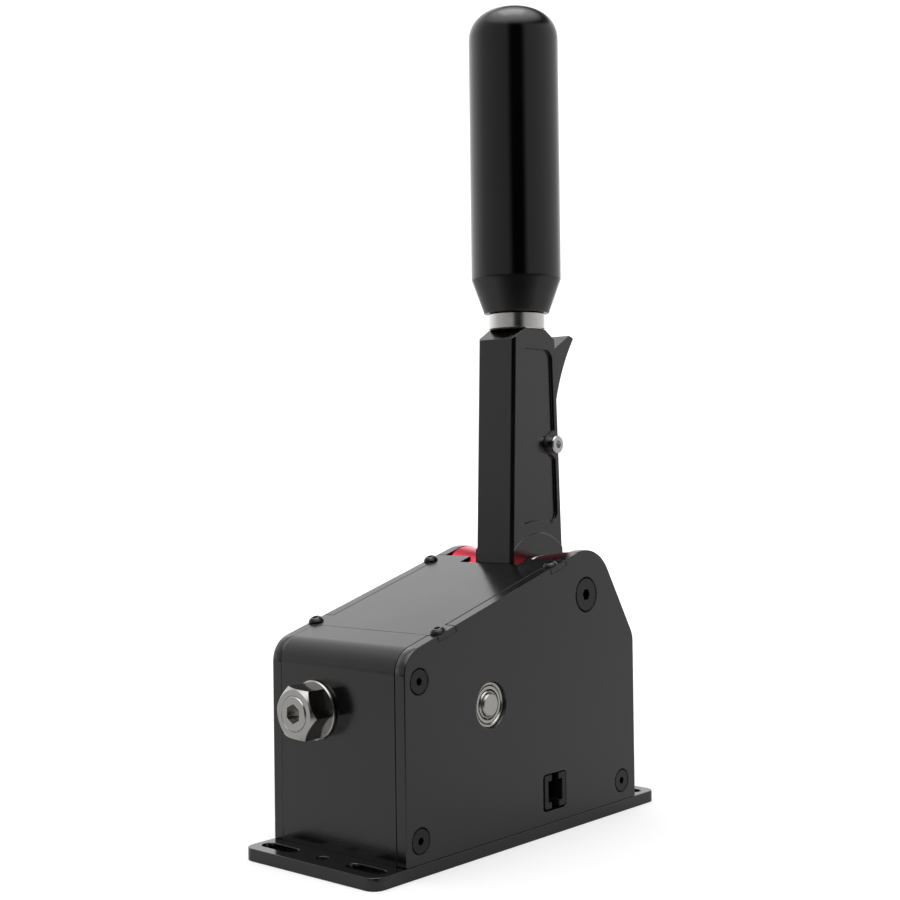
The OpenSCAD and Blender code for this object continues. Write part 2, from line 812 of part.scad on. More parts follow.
// The spring's middle line: a leg from the front, the coil, and a leg back to the front
coil_steps = coil_turns * turn_steps;
coil_points = [for (i = [0 : coil_steps]) let (a = 360 * i / turn_steps)
    [shaft_x + coil_r * sin(a), coil_y - coil_pitch * i / turn_steps, shaft_z + coil_r * cos(a)]];
coil_normals = [for (i = [0 : coil_steps]) let (a = 360 * i / turn_steps) [sin(a), 0, cos(a)]];
spring_points = concat([[shaft_x - leg_l, coil_y, shaft_z + coil_r]], coil_points,
    [[shaft_x - leg_l, coil_end_y, shaft_z - coil_r]]);
spring_normals = concat([coil_normals[0]], coil_normals, [coil_normals[coil_steps]]);
coil_gap = min([for (i = [0 : coil_steps - turn_steps], k = [turn_steps - 2 : turn_steps + 2])
    i + k <= coil_steps ? norm(coil_points[i + k] - coil_points[i]) : coil_r]) - 2 * wire_r;
echo(str("return spring, least gap between turns: ", coil_gap));

module return_spring() {
    color("gray") wire(spring_points, spring_normals, [0, -1, 0], wire_r);
}

module bracket_screw_places() {
    for (z = [-1, 1]) translate([bracket_x, (coil_y + coil_end_y) / 2, shaft_z + z * bracket_screw_dz])
        rotate([0, 90, 0]) children();
}

module spring_bracket() {
    y0 = coil_end_y - bracket_edge;
    width = coil_y - coil_end_y + 2 * bracket_edge;
    color("slategray") difference() {
        union() {
            translate([bracket_x, y0, shaft_z - bracket_half]) cube([bracket_t, width, 2 * bracket_half]);
            translate([bracket_x, y0, shaft_z - leg_grip])
                cube([bracket_nose_x - side_gap - bracket_x, width, 2 * leg_grip]);
        }
        bracket_screw_places() cylinder(h = 2 * bracket_t, d = m3_d + 2 * fit_gap);
    }
}

module bracket_screws() {
    color("black") bracket_screw_places() translate([0, 0, bracket_t]) button_screw(m3_l);
}

// Links

module link_bar(side) {
    y_from = side > 0 ? link_y : -link_y - link_t;
    color("slategray") difference() {
        eye_arm(lever_pin, rocker_pin, link_half, y_from, y_from + link_t);
        for (c = [lever_pin, rocker_pin]) y_rod(c, y_from - 1, y_from + link_t + 1, link_pin_d / 2 + run_gap);
    }
}

module left_link_bar() {
    link_bar(1);
}

module right_link_bar() {
    link_bar(-1);
}

module link_pin(c) {
    half = pin_clip_y + pin_clip_t + pin_end;
    color("silver") difference() {
        y_rod(c, -half, half, link_pin_d / 2);
        for (side = [-1, 1]) out_to(side, c, pin_clip_y - fit_gap)
            ring(link_pin_d, link_pin_d / 2 - clip_depth, pin_clip_t + 2 * fit_gap);
    }
}

module link_pin_clips(c) {
    color("dimgray") for (side = [-1, 1]) out_to(side, c, pin_clip_y)
        ring(pin_clip_r, link_pin_d / 2 - clip_depth + fit_gap, pin_clip_t);
}

module lever_link_pin() {
    link_pin(lever_pin);
}

module rocker_link_pin() {
    link_pin(rocker_pin);
}

module link_pin_clips_lever() {
    link_pin_clips(lever_pin);
}

module link_pin_clips_rocker() {
    link_pin_clips(rocker_pin);
}

// Stop screw

module on_stop_axis(x) {
    translate([x, stop_y, shaft_z]) rotate([0, 90, 0]) children();
}

module stop_screw() {
    length = stop_x - stop_end_x;
    r = stop_d / 2;
    rim = stop_rim;
    color("silver") on_stop_axis(stop_end_x) difference() {
        rotate_extrude() polygon([[0, 0], [r - rim, 0], [r, rim], [r, length - rim], [r - rim, length],
            [0, length]]);
        rotate([180, 0, 0]) rotate([0, 0, stop_hex_turn]) hex_hole(stop_hex, stop_hex_depth);
        translate([0, 0, length - tip_shank_l - side_gap])
            cylinder(h = tip_shank_l + 1, d = tip_shank_d + 2 * run_gap);
    }
}

module stop_tip() {
    cone_l = tip_base - tip_reach;
    shank_r = tip_shank_d / 2;
    color("silver") on_stop_axis(shaft_x - tip_base - seam_gap - tip_shank_l)
        rotate_extrude() polygon([[0, 0], [shank_r, 0], [shank_r, tip_shank_l + seam_gap],
            [tip_base * tan(tip_a), tip_shank_l + seam_gap],
            [tip_reach * tan(tip_a), tip_shank_l + seam_gap + cone_l], [0, tip_shank_l + seam_gap + cone_l]]);
}

module lock_nut() {
    r_out = nut_af / 2 / cos(30);
    r_in = stop_d / 2 + run_gap;
    face_r = nut_af / 2 * nut_face;
    rim_r = r_out + nut_over;
    bevel = (rim_r - face_r) * tan(nut_bevel_a);
    color("silver") on_stop_axis(front_x - washer_t - nut_t) difference() {
        intersection() {
            rotate([0, 0, nut_turn]) cylinder(h = nut_t, r = r_out, $fn = 6);
            rotate_extrude() polygon([[0, 0], [face_r, 0], [rim_r, bevel], [rim_r, nut_t + 1],
                [0, nut_t + 1]]);
        }
        translate([0, 0, -eps]) cylinder(h = nut_t + 2 * eps, r = r_in);
        translate([0, 0, -eps]) cylinder(h = nut_sink, r1 = r_in + nut_sink, r2 = r_in);
    }
}

module lock_washer() {
    color("silver") on_stop_axis(front_x - washer_t)
        bearing_ring(washer_d / 2, stop_d / 2 + 2 * run_gap, washer_t);
}

// Lever

module lever_outline() {
    shoulder = lever_half(lever_h - roof_drop);
    eave = lever_top_z - roof_drop;
    polygon([pivot_c + hub_r * [-cos(taper_a), sin(taper_a)], [pivot_x - shoulder, eave],
        [pivot_x - roof_w / 2, lever_top_z], [pivot_x + roof_w / 2, lever_top_z], [pivot_x + shoulder, eave],
        pivot_c + hub_r * [cos(taper_a), sin(taper_a)]]);
}

module arm_outline() {
    foot = pivot_z - arm_l;
    polygon([[pivot_x - arm_half, pivot_z], [pivot_x - arm_half, lever_pin.y], [pivot_x - arm_tip_half, foot],
        [pivot_x + arm_tip_half, foot], [pivot_x + arm_half, lever_pin.y], [pivot_x + arm_half, pivot_z]]);
}

// Width of the pocket's rim: 1 is the rear side, -1 the front
function rim_w(side) = side > 0 ? pocket_rear_rim : pocket_rim;

// A lower corner of the pocket: an arc from the rim to just inside the circle round the hub
function pocket_corner(side) =
    let (rim = (lever_half(0) - rim_w(side)) * cos(taper_a), low = pocket_arc_r - pocket_low_in,
        c = [rim - pocket_low_r, sqrt(pow(low + pocket_low_r, 2) - pow(rim - pocket_low_r, 2))],
        a_end = -180 + atan2(c.y, c.x))
    [for (i = [0 : pocket_low_steps]) let (a = a_end * i / pocket_low_steps,
        p = c + pocket_low_r * [cos(a), sin(a)])
        pivot_c + [side * (p.x * cos(taper_a) - p.y * sin(taper_a)), p.x * sin(taper_a) + p.y * cos(taper_a)]];

// An upper corner of the pocket
function pocket_top_corner(side) =
    let (half = lever_half(pocket_top) - rim_w(side), low_half = lever_half(0) - rim_w(side))
    arc_corner(pivot_c + [side * low_half, 0], pivot_c + [side * half, pocket_top],
        pivot_c + [0, pocket_top], pocket_corner_r, pocket_low_steps);

function reversed(points) = [for (i = [1 : len(points)]) points[len(points) - i]];

// The pocket of a side face: between the rims, above the arc round the hub and clear of the bolt's boss
module pocket(y_from, y_to) {
    flank = boss_r * boss_ease * [sin(boss_a), cos(boss_a)];
    reach = pivot_x + hub_r - catch_c.x;
    half = flank.y + (reach + flank.x) * tan(boss_a);
    difference() {
        along_y(y_from, y_to) polygon(concat(reversed(pocket_corner(1)), pocket_top_corner(1),
            reversed(pocket_top_corner(-1)), pocket_corner(-1)));
        y_rod(pivot_c, y_from - 1, y_to + 1, pocket_arc_r);
        y_rod(catch_c, y_from - 1, y_to + 1, boss_r);
        along_y(y_from - 1, y_to + 1) translate(catch_c) polygon([[-flank.x, -flank.y], [-flank.x, flank.y],
            [reach, half], [reach, -half]]);
    }
}

module lever() {
    face = [for (i = [0 : hub_face_steps - 1]) let (a = 360 * (i + 0.5) / hub_face_steps) [cos(a), sin(a)]];
    face_top = hub_face_r - hub_rise;
    face_foot = hub_face_r + hub_rise;
    color("dimgray") difference() {
        union() {
            along_y(-hub_face_y, hub_face_y) lever_outline();
            y_rod(pivot_c, -hub_face_y, hub_face_y, hub_r);
            along_y(-arm_t / 2, arm_t / 2) arm_outline();
        }
        for (x = [-1, 1], y = [-1, 1])
            translate([pivot_x + x * lever_half(0), y * lever_y, pivot_z]) rotate([0, -x * taper_a, 0])
                rotate([0, 0, 45]) translate([-chamfer_cut / 2, -chamfer_cut / 2, chamfer_h])
                cube([chamfer_cut, chamfer_cut, 2 * lever_h]);
        pocket(lever_y - pocket_depth, lever_w);
        pocket(-lever_w, pocket_depth - lever_y);
        for (side = [-1, 1]) {
            out_to(side, pivot_c, lever_y) difference() {
                linear_extrude(2 * hub_rise) square(4 * lever_h, center = true);
                linear_extrude(2 * hub_rise, scale = face_top / face_foot) polygon(face_foot * face);
            }
            out_to(side, pivot_c, hub_y - hub_bearing_w)
                cylinder(h = hub_bearing_w, d = hub_bearing_od + 2 * fit_gap);
        }
        y_rod(pivot_c, -lever_y, lever_y, hub_web_r);
        y_rod(lever_pin, -arm_t, arm_t, link_pin_d / 2 + fit_gap);
        y_rod(catch_c, -lever_w, lever_w, catch_bolt_d / 2 + fit_gap);
        translate([catch_slot_x, -catch_slot_y, catch_c.y - catch_slot_low])
            cube([lever_hub_d, 2 * catch_slot_y, lever_h]);
        translate([catch_slot_x - catch_spring_bore, 0, catch_c.y + catch_spring_h]) rotate([0, 90, 0])
            cylinder(h = catch_spring_bore + 1, d = catch_spring_d + 2 * side_gap);
        translate([catch_slot_x - switch_size.x - fit_gap, -switch_size.y / 2 - fit_gap,
            catch_c.y + switch_h - switch_size.z / 2 - fit_gap])
            cube([switch_size.x + 1, switch_size.y + 2 * fit_gap, switch_size.z + 2 * fit_gap]);
        translate([pivot_x, 0, lever_top_z - stud_in_lever])
            cylinder(h = stud_in_lever + 1, d = stud_d + 2 * fit_gap);
        translate([pivot_x, 0, pivot_z - arm_l - 1]) cylinder(h = magnet_l + 1, d = magnet_d + 2 * fit_gap);
    }
}

module magnet() {
    color("silver") translate([pivot_x, 0, pivot_z - arm_l]) cylinder(h = magnet_l, d = magnet_d);
}

module collar() {
    r = collar_d / 2;
    c = collar_chamfer;
    bore_r = stud_d / 2 + fit_gap;
    color("gainsboro") translate([pivot_x, 0, lever_top_z]) rotate_extrude() polygon([[bore_r, 0], [r - c, 0],
        [r, c], [r, collar_h - c], [r - c, collar_h], [bore_r, collar_h]]);
}

module grip() {
    r = grip_d / 2;
    dome = [for (i = [1 : dome_steps]) let (a = 90 * i / dome_steps)
        [r * pow(cos(a), 2 / dome_power), grip_l - grip_dome_h + grip_dome_h * pow(sin(a), 2 / dome_power)]];
    color("black") translate([pivot_x, 0, grip_z]) difference() {
        rotate_extrude() polygon(concat([[0, 0], [grip_neck_d / 2, 0], [r, grip_cone_h],
            [r, grip_l - grip_dome_h]], dome));
        translate([0, 0, -1]) cylinder(h = stud_in_grip + 1.5, d = stud_d + 2 * fit_gap);
    }
}

module grip_stud() {
    color("silver") translate([pivot_x, 0, lever_top_z - stud_in_lever])
        cylinder(h = stud_in_lever + collar_h + stud_in_grip, d = stud_d);
}

// Catch

module catch_outline() {
    top_front_h = (catch_tip_h - (catch_top_x + catch_hub_r) * tan(catch_top_a))
        / (1 - tan(catch_front_a) * tan(catch_top_a));
    top_front = [-catch_hub_r + top_front_h * tan(catch_front_a), top_front_h];
    lip_h = catch_tip_h - catch_tip_r / 2;
    translate(catch_c) polygon([[-catch_hub_r, 0], top_front, [catch_top_x, catch_tip_h], [catch_lip, lip_h],
        [catch_lip + catch_tip_r, lip_h - catch_tip_r], [catch_lip + catch_tip_r, -catch_tail],
        [0, -catch_tail], [0, 0]]);
}

module catch() {
    y = catch_w / 2;
    color("dimgray") difference() {
        union() {
            along_y(-y, y) catch_outline();
            y_rod(catch_c, -y, y, catch_hub_r);
        }
        y_rod(catch_c + catch_curve_c, -catch_w, catch_w, catch_curve_r, $fn = 360);
        y_rod(catch_c, -catch_w, catch_w, catch_bolt_d / 2 + run_gap);
    }
}

module catch_bolt() {
    length = lever_w + bolt_nut_h + pin_end;
    r = bolt_head_d / 2;
    rim = 0.4;
    color("gainsboro") out_to(-1, catch_c, lever_y) difference() {
        rotate_extrude() polygon([[0, -length], [catch_bolt_d / 2, -length], [catch_bolt_d / 2, 0], [r, 0],
            [r, bolt_head_h - rim], [r - rim, bolt_head_h], [0, bolt_head_h]]);
        translate([0, 0, bolt_head_h]) hex_hole(bolt_hex, bolt_head_h * 0.7);
    }
}

module catch_nut() {
    color("gainsboro") out_to(1, catch_c, lever_y) difference() {
        cylinder(h = bolt_nut_h, d = bolt_nut_af / cos(30), $fn = 6);
        translate([0, 0, -eps]) cylinder(h = bolt_nut_h + 2 * eps, d = catch_bolt_d + 2 * fit_gap);
    }
}

// The catch's spring, from the floor of its bore to the catch
catch_spring_r = (catch_spring_d - catch_wire) / 2;
catch_spring_x = catch_slot_x - catch_spring_bore + catch_wire;
catch_spring_l = catch_c.x - catch_hub_r + (catch_spring_h - catch_spring_d / 2) * tan(catch_front_a)
    - catch_wire - catch_spring_x;
catch_spring_points = [for (i = [0 : catch_turns * turn_steps]) let (a = 360 * i / turn_steps)
    [catch_spring_x + catch_spring_l * i / catch_turns / turn_steps, catch_spring_r * cos(a),
        catch_c.y + catch_spring_h + catch_spring_r * sin(a)]];
catch_spring_normals = [for (i = [0 : catch_turns * turn_steps])
    let (a = 360 * i / turn_steps) [0, cos(a), sin(a)]];
echo(str("catch spring, least gap between turns: ", catch_spring_l / catch_turns - catch_wire));

module catch_spring() {
    color("gray") wire(catch_spring_points, catch_spring_normals, [-1, 0, 0], catch_wire / 2);
}

module catch_switch() {
    color("black") {
        translate([catch_slot_x - switch_size.x, -switch_size.y / 2, catch_c.y + switch_h - switch_size.z / 2])
            cube(switch_size);
        translate([catch_slot_x - eps, 0, catch_c.y + switch_h]) rotate([0, 90, 0])
            cylinder(h = switch_button_l, d = switch_button_d);
    }
}

// Socket and circuit board

// The outline of the socket's face, widened by a gap for the window that it stands in
module socket_outline(gap) {
    w = socket_w / 2 + gap;
    t = socket_t / 2 + gap;
    c = socket_corner_r + gap;
    translate([socket_x, socket_z]) polygon(rounded([[-w, -t], [w, -t], [w, t], [-w, t]], [c, c, c, c]));
}

module modular_socket() {
    face_y = -side_y + socket_in;
    color("black") difference() {
        along_y(face_y, face_y + socket_l) socket_outline(0);
        along_y(face_y - 1, face_y + core_l) translate([socket_x, socket_z])
            square([core_w, core_h], center = true);
        along_y(face_y - 1, face_y + latch_l) translate([socket_x, socket_z]) {
            translate([-latch_w[0] / 2, 0]) square([latch_w[0], socket_t]);
            translate([-latch_w[1] / 2, -socket_t]) square([latch_w[1], socket_t]);
        }
    }
}

module socket_contacts() {
    back_y = -side_y + socket_in + core_l;
    first_x = socket_x - (contact_count - 1) * contact_pitch / 2;
    color("gold") for (i = [0 : contact_count - 1])
        translate([first_x + i * contact_pitch - contact_t / 2, back_y - contact_l,
            socket_z + core_h / 2 - 2 * contact_t])
            cube([contact_t, contact_l, contact_t]);
}

function board_holes() = [for (x = [board_x0 + board_hole_in, board_x1 - board_hole_in],
    y = [board_y0 + socket_l, board_y1 - board_hole_in]) [x, y]];

module circuit_board() {
    color("darkgreen") difference() {
        translate([board_x0, board_y0, board_top - board_t])
            cube([board_x1 - board_x0, board_y1 - board_y0, board_t]);
        for (p = board_holes()) translate([p.x, p.y, base_t]) cylinder(h = socket_t, d = m3_d + 2 * fit_gap);
    }
}

module board_standoffs() {
    height = board_top - board_t - base_t;
    color("gold") for (p = board_holes()) translate([p.x, p.y, base_t])
        ring(standoff_d / 2, m3_d / 2 + fit_gap, height);
}

module board_screws() {
    length = board_top - base_t / 2 - side_gap;
    color("black") for (p = board_holes()) translate([p.x, p.y, board_top]) button_screw(length);
}

module controller_chip() {
    color("black") translate([chip_x, chip_y - chip_size.y / 2, board_top]) cube(chip_size);
}

module hall_sensor() {
    color("black") translate([pivot_x - sensor_size.x / 2, -sensor_size.y / 2, board_top]) cube(sensor_size);
}

base_plate();
left_side_plate();
right_side_plate();
front_block();
rear_wall();
top_cover();
cover_screws();
side_plate_screws();
pivot_screws();
base_screws();
pivot_axle();
left_spacer();
right_spacer();
hub_bearing_inner_rings();
hub_bearing_outer_rings();
hub_bearing_balls();
shaft_bearing_outer_rings();
shaft_bearing_shields();
shaft_bearing_balls();
shaft_bearing_inner_rings();
cross_shaft();
shaft_circlips();
rocker();
rocker_set_screws();
spring_finger();
return_spring();
spring_bracket();
bracket_screws();
left_link_bar();
right_link_bar();
lever_link_pin();
rocker_link_pin();
link_pin_clips_lever();
link_pin_clips_rocker();
stop_screw();
stop_tip();
lock_nut();
lock_washer();
lever();
collar();
grip();
grip_stud();
magnet();
catch();
catch_bolt();
catch_nut();
catch_spring();
catch_switch();
modular_socket();
socket_contacts();
circuit_board();
controller_chip();
hall_sensor();
board_standoffs();
board_screws();
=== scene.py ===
import json
import math

import bpy
from mathutils import Matrix, Vector

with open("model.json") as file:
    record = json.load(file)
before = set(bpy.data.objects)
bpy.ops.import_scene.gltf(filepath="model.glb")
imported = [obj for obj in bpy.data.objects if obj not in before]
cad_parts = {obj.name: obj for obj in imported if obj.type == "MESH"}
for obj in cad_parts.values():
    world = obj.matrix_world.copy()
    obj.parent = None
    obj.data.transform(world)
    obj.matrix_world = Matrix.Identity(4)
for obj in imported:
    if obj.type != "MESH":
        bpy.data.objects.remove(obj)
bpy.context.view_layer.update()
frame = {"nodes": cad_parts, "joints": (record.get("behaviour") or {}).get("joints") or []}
NODES = frame["nodes"]
MM = 0.001
X, Y, Z = range(3)

# Points on the axes that turned pieces were turned about
AXES = {joint["name"]: joint.get("pos_m") for joint in frame["joints"]}
PIVOT = AXES["lever_swing"]
SHAFT = AXES["shaft_turn"]
STOP = AXES["stop_turn"]
CATCH = AXES["catch_pull"]


# Node trees

# Sockets of the Mix node in colour mode, by place, because their names repeat
MIX_FACTOR, MIX_A, MIX_B, MIX_RESULT = 0, 6, 7, 2
NOISE_LOW, NOISE_HIGH = 0.3, 0.7
EDGE_SAMPLES = 6


class Tree:
    """The node tree of a material or world, with short calls to add nodes and to set and link sockets."""

    def __init__(self, owner, coords="Object"):
        owner.use_nodes = True
        self.owner = owner
        self.tree = owner.node_tree
        self.coords = self.add("ShaderNodeTexCoord").outputs[coords]

    def add(self, kind, inputs=None, **settings):
        node = self.tree.nodes.new(kind)
        for key, value in settings.items():
            setattr(node, key, value)
        for key, value in (inputs or {}).items():
            self.put(node.inputs[key], value)
        return node

    def put(self, socket, value):
        if isinstance(value, bpy.types.NodeSocket):
            self.tree.links.new(value, socket)
        else:
            socket.default_value = value

    def math(self, operation, a, b=0.0):
        return self.add("ShaderNodeMath", {0: a, 1: b}, operation=operation).outputs[0]

    def vector_math(self, operation, a, b=(0.0, 0.0, 0.0)):
        return self.add("ShaderNodeVectorMath", {0: a, 1: b}, operation=operation)

    def stretched(self, scale):
        return self.add("ShaderNodeMapping", {"Vector": self.coords, "Scale": scale}).outputs[0]

    def noise(self, scale, detail=4.0, roughness=0.6, vector=None):
        inputs = {"Vector": vector or self.coords, "Scale": scale, "Detail": detail, "Roughness": roughness}
        return self.add("ShaderNodeTexNoise", inputs).outputs[0]

    def remap(self, value, low, high, to_low, to_high):
        inputs = {"Value": value, "From Min": low, "From Max": high, "To Min": to_low, "To Max": to_high}
        return self.add("ShaderNodeMapRange", inputs).outputs[0]

    def spread(self, noise, low, high):
        """The middle part of a noise, where most of its values lie, spread from low to high."""
        return self.remap(noise, NOISE_LOW, NOISE_HIGH, low, high)

    def satin(self, fine, cloud, rough, grain=0.04, clouding=0.03):
        """Roughness about a middle value, varied by a fine grain and a broad clouding."""
        return self.math("ADD", self.spread(fine, -grain, grain),
                         self.spread(cloud, rough - clouding, rough + clouding))

    def mix(self, factor, a, b):
        """From a to b, each a colour or a socket."""
        node = self.add("ShaderNodeMix", data_type="RGBA")
        for place, value in ((MIX_FACTOR, factor), (MIX_A, a), (MIX_B, b)):
            self.put(node.inputs[place], (*value, 1.0) if isinstance(value, tuple) else value)
        return node.outputs[MIX_RESULT]

    def rounded_normal(self, edge):
        """The normal on edges that look rounded, to a radius in millimetres."""
        return self.add("ShaderNodeBevel", {"Radius": edge * MM}, samples=EDGE_SAMPLES).outputs[0]

    def edge_mask(self, edge):
        """1 on sharp edges, 0 on flat faces."""
        flat = self.add("ShaderNodeNewGeometry").outputs["Normal"]
        match = self.vector_math("DOT_PRODUCT", self.rounded_normal(edge), flat).outputs["Value"]
        return self.remap(match, 0.995, 0.86, 0.0, 1.0)

    def bump(self, height, depth, strength=0.5, edge=None):
        """Relief of a depth in millimetres, on edges that look rounded where a radius is given."""
        inputs = {"Height": height, "Distance": depth * MM, "Strength": strength}
        if edge is not None:
            inputs["Normal"] = self.rounded_normal(edge)
        return self.add("ShaderNodeBump", inputs).outputs[0]

    def finish(self, **inputs):
        """Sets the shader's sockets, named with _ for a space, and returns the material."""
        for key, value in inputs.items():
            self.put(self.tree.nodes["Principled BSDF"].inputs[key.replace("_", " ")], value)
        return self.owner


# Materials: edges, depths and pitches in millimetres, noise scales per metre

FINE_GRAIN = 2600.0
WEAR_EDGE, WEAR_SHARE = 0.35, 0.5


def anodised(name, dark, light, wear, rough, grain=FINE_GRAIN, specular=0.7):
    """Black anodised aluminium: a fine satin grain, faint clouding and paler edges."""
    t = Tree(bpy.data.materials.new(name))
    fine = t.noise(grain, detail=3.0)
    cloud = t.noise(38.0, detail=5.0)
    patches = t.remap(t.noise(420.0, roughness=0.55), 0.38, 0.62, 0.15, 1.0)
    worn = t.math("MULTIPLY", t.edge_mask(WEAR_EDGE), patches)
    tone = t.mix(t.spread(cloud, 0.0, 1.0), dark, light)
    tone = t.mix(t.math("MULTIPLY", worn, WEAR_SHARE), tone, wear)
    return t.finish(Base_Color=tone, Roughness=t.satin(fine, cloud, rough), Specular_IOR_Level=specular,
                    Normal=t.bump(fine, depth=0.012, edge=0.22))


def dyed(name, dark, light, rough):
    """Dyed anodised aluminium: turned metal seen through a coloured, glassy skin."""
    t = Tree(bpy.data.materials.new(name))
    fine = t.noise(FINE_GRAIN, detail=3.0)
    cloud = t.noise(90.0)
    tone = t.mix(t.spread(cloud, 0.0, 1.0), dark, light)
    return t.finish(Base_Color=tone, Metallic=1.0, Roughness=t.satin(fine, cloud, rough),
                    Normal=t.bump(fine, depth=0.008, edge=0.25), Coat_Weight=0.3, Coat_Roughness=0.12)


def turned(name, dark, light, rough, axis, centre, pitch=0.10):
    """Turned metal: fine rings about an axis, with faint smears."""
    t = Tree(bpy.data.materials.new(name))
    offset = t.vector_math("SUBTRACT", t.coords, centre).outputs[0]
    across = tuple(0.0 if k == axis else 1.0 for k in (X, Y, Z))
    radius = t.vector_math("LENGTH", t.vector_math("MULTIPLY", offset, across).outputs[0]).outputs["Value"]
    along = t.add("ShaderNodeSeparateXYZ", {0: offset}).outputs[axis]
    profile = t.add("ShaderNodeCombineXYZ", {X: radius, Y: along}).outputs[0]
    rings = t.noise(1.0 / (pitch * MM), detail=3.0, vector=profile)
    smear = t.noise(120.0)
    tone = t.mix(t.math("ADD", t.spread(rings, 0.0, 0.6), t.spread(smear, 0.0, 0.4)), dark, light)
    shine = t.math("ADD", t.spread(rings, rough - 0.05, rough + 0.05),
                   t.remap(smear, 0.35, 0.65, -0.04, 0.06))
    return t.finish(Base_Color=tone, Metallic=1.0, Roughness=shine,
                    Normal=t.bump(rings, depth=0.006, edge=0.12))


def machined(name, dark, light, rough, scale=(60.0, 2500.0, 400.0)):
    """Milled or drawn metal: long fine streaks."""
    t = Tree(bpy.data.materials.new(name))
    streak = t.noise(1.0, vector=t.stretched(scale))
    cloud = t.noise(150.0)
    tone = t.mix(t.spread(streak, 0.0, 1.0), dark, light)
    shine = t.math("ADD", t.spread(streak, rough - 0.06, rough + 0.06),
                   t.remap(cloud, 0.35, 0.65, -0.04, 0.05))
    return t.finish(Base_Color=tone, Metallic=1.0, Roughness=shine,
                    Normal=t.bump(streak, depth=0.008, edge=0.2))


def moulded(name, dark, light, rough, grain, depth, specular=0.4, edge=0.15):
    """Moulded plastic with a spark-eroded grain."""
    t = Tree(bpy.data.materials.new(name))
    fine = t.noise(grain, roughness=0.65)
    cloud = t.noise(60.0, roughness=0.55)
    tone = t.mix(t.spread(cloud, 0.0, 1.0), dark, light)
    return t.finish(Base_Color=tone, Roughness=t.satin(fine, cloud, rough, grain=0.05),
                    Normal=t.bump(fine, depth, strength=0.6, edge=edge), Specular_IOR_Level=specular)


def circuit(name):
    """Green solder mask over copper tracks and pads."""
    t = Tree(bpy.data.materials.new(name))
    layout = {"Vector": t.stretched((260.0, 260.0, 260.0)), "Scale": 1.0, "Mortar Size": 0.035, "Bias": 0.0,
              "Brick Width": 1.4, "Row Height": 0.45}
    cells = t.add("ShaderNodeTexBrick", layout, offset=0.37).outputs["Fac"]
    cloud = t.noise(220.0, roughness=0.55)
    tracks = t.math("MULTIPLY", cells, t.remap(cloud, 0.45, 0.5, 0.0, 1.0))
    tone = t.mix(tracks, (0.008, 0.085, 0.03), (0.03, 0.2, 0.075))
    return t.finish(Base_Color=tone, Roughness=t.spread(cloud, 0.25, 0.38),
                    Normal=t.bump(tracks, depth=0.03, strength=1.0))


def paint(material, *names):
    for name in names:
        mesh = NODES[name].data
        mesh.materials.clear()
        mesh.materials.append(material)


BLACK = {"dark": (0.0014, 0.0014, 0.0015), "light": (0.0022, 0.0022, 0.0024), "rough": 0.20}

black = anodised("black_anodised", wear=(0.03, 0.03, 0.031), **BLACK)
lever_black = anodised("lever_anodised", wear=(0.04, 0.04, 0.041), specular=0.75, **BLACK)
oxide = anodised("black_oxide", (0.0012, 0.0012, 0.0013), (0.0024, 0.0024, 0.0026),
                 wear=(0.05, 0.05, 0.05), rough=0.14, grain=3200.0, specular=0.4)
red = dyed("red_anodised", (0.58, 0.008, 0.035), (0.68, 0.016, 0.050), rough=0.20)
grip_skin = moulded("grip_satin", (0.0012, 0.0012, 0.0013), (0.0018, 0.0018, 0.0020), rough=0.13,
                    grain=1800.0, depth=0.0012, specular=0.58, edge=1.2)
plastic = moulded("socket_plastic", (0.004, 0.004, 0.0045), (0.007, 0.007, 0.0075), rough=0.45,
                  grain=2200.0, depth=0.01)
collar_steel = turned("collar_turned", (0.60, 0.59, 0.57), (0.69, 0.68, 0.66), 0.22, Z, PIVOT)
shaft_steel = turned("shaft_turned", (0.44, 0.425, 0.40), (0.54, 0.525, 0.495), 0.18, Y, SHAFT)
stop_steel = turned("stop_turned", (0.40, 0.39, 0.375), (0.50, 0.49, 0.475), 0.14, X, STOP)
catch_steel = turned("catch_bolt_turned", (0.48, 0.48, 0.47), (0.60, 0.60, 0.59), 0.18, Y, CATCH)
pivot_steel = turned("pivot_turned", (0.62, 0.62, 0.61), (0.72, 0.72, 0.71), 0.18, Y, PIVOT)
grey = machined("grey_machined", (0.38, 0.39, 0.41), (0.48, 0.49, 0.51), rough=0.36)
spring_wire = machined("spring_wire", (0.22, 0.22, 0.24), (0.32, 0.32, 0.34), rough=0.34,
                       scale=(900.0, 900.0, 900.0))
gold = machined("gold_plate", (0.78, 0.55, 0.20), (0.86, 0.64, 0.28), rough=0.26)
board = circuit("circuit_board")

paint(black, "base_plate", "left_side_plate", "right_side_plate", "front_block", "rear_wall", "top_cover")
paint(lever_black, "lever", "catch")
paint(red, "left_spacer", "right_spacer")
paint(oxide, "cover_screws", "side_plate_screws", "pivot_screws", "base_screws", "rocker_set_screws",
      "bracket_screws", "board_screws")
paint(grip_skin, "grip")
paint(plastic, "modular_socket", "catch_switch", "controller_chip", "hall_sensor")
paint(collar_steel, "collar", "grip_stud", "magnet")
paint(shaft_steel, "shaft_bearing_outer_rings", "shaft_bearing_inner_rings", "shaft_bearing_shields",
      "shaft_bearing_balls", "cross_shaft")
paint(stop_steel, "stop_screw", "stop_tip", "lock_nut", "lock_washer")
paint(catch_steel, "catch_bolt", "catch_nut")
paint(pivot_steel, "pivot_axle", "hub_bearing_inner_rings", "hub_bearing_outer_rings", "hub_bearing_balls",
      "lever_link_pin", "rocker_link_pin")
paint(grey, "rocker", "spring_finger", "spring_bracket", "left_link_bar", "right_link_bar")
paint(spring_wire, "return_spring", "catch_spring", "shaft_circlips", "link_pin_clips_lever",
      "link_pin_clips_rocker")
paint(gold, "socket_contacts", "board_standoffs")
paint(board, "circuit_board")


# Rounded edges

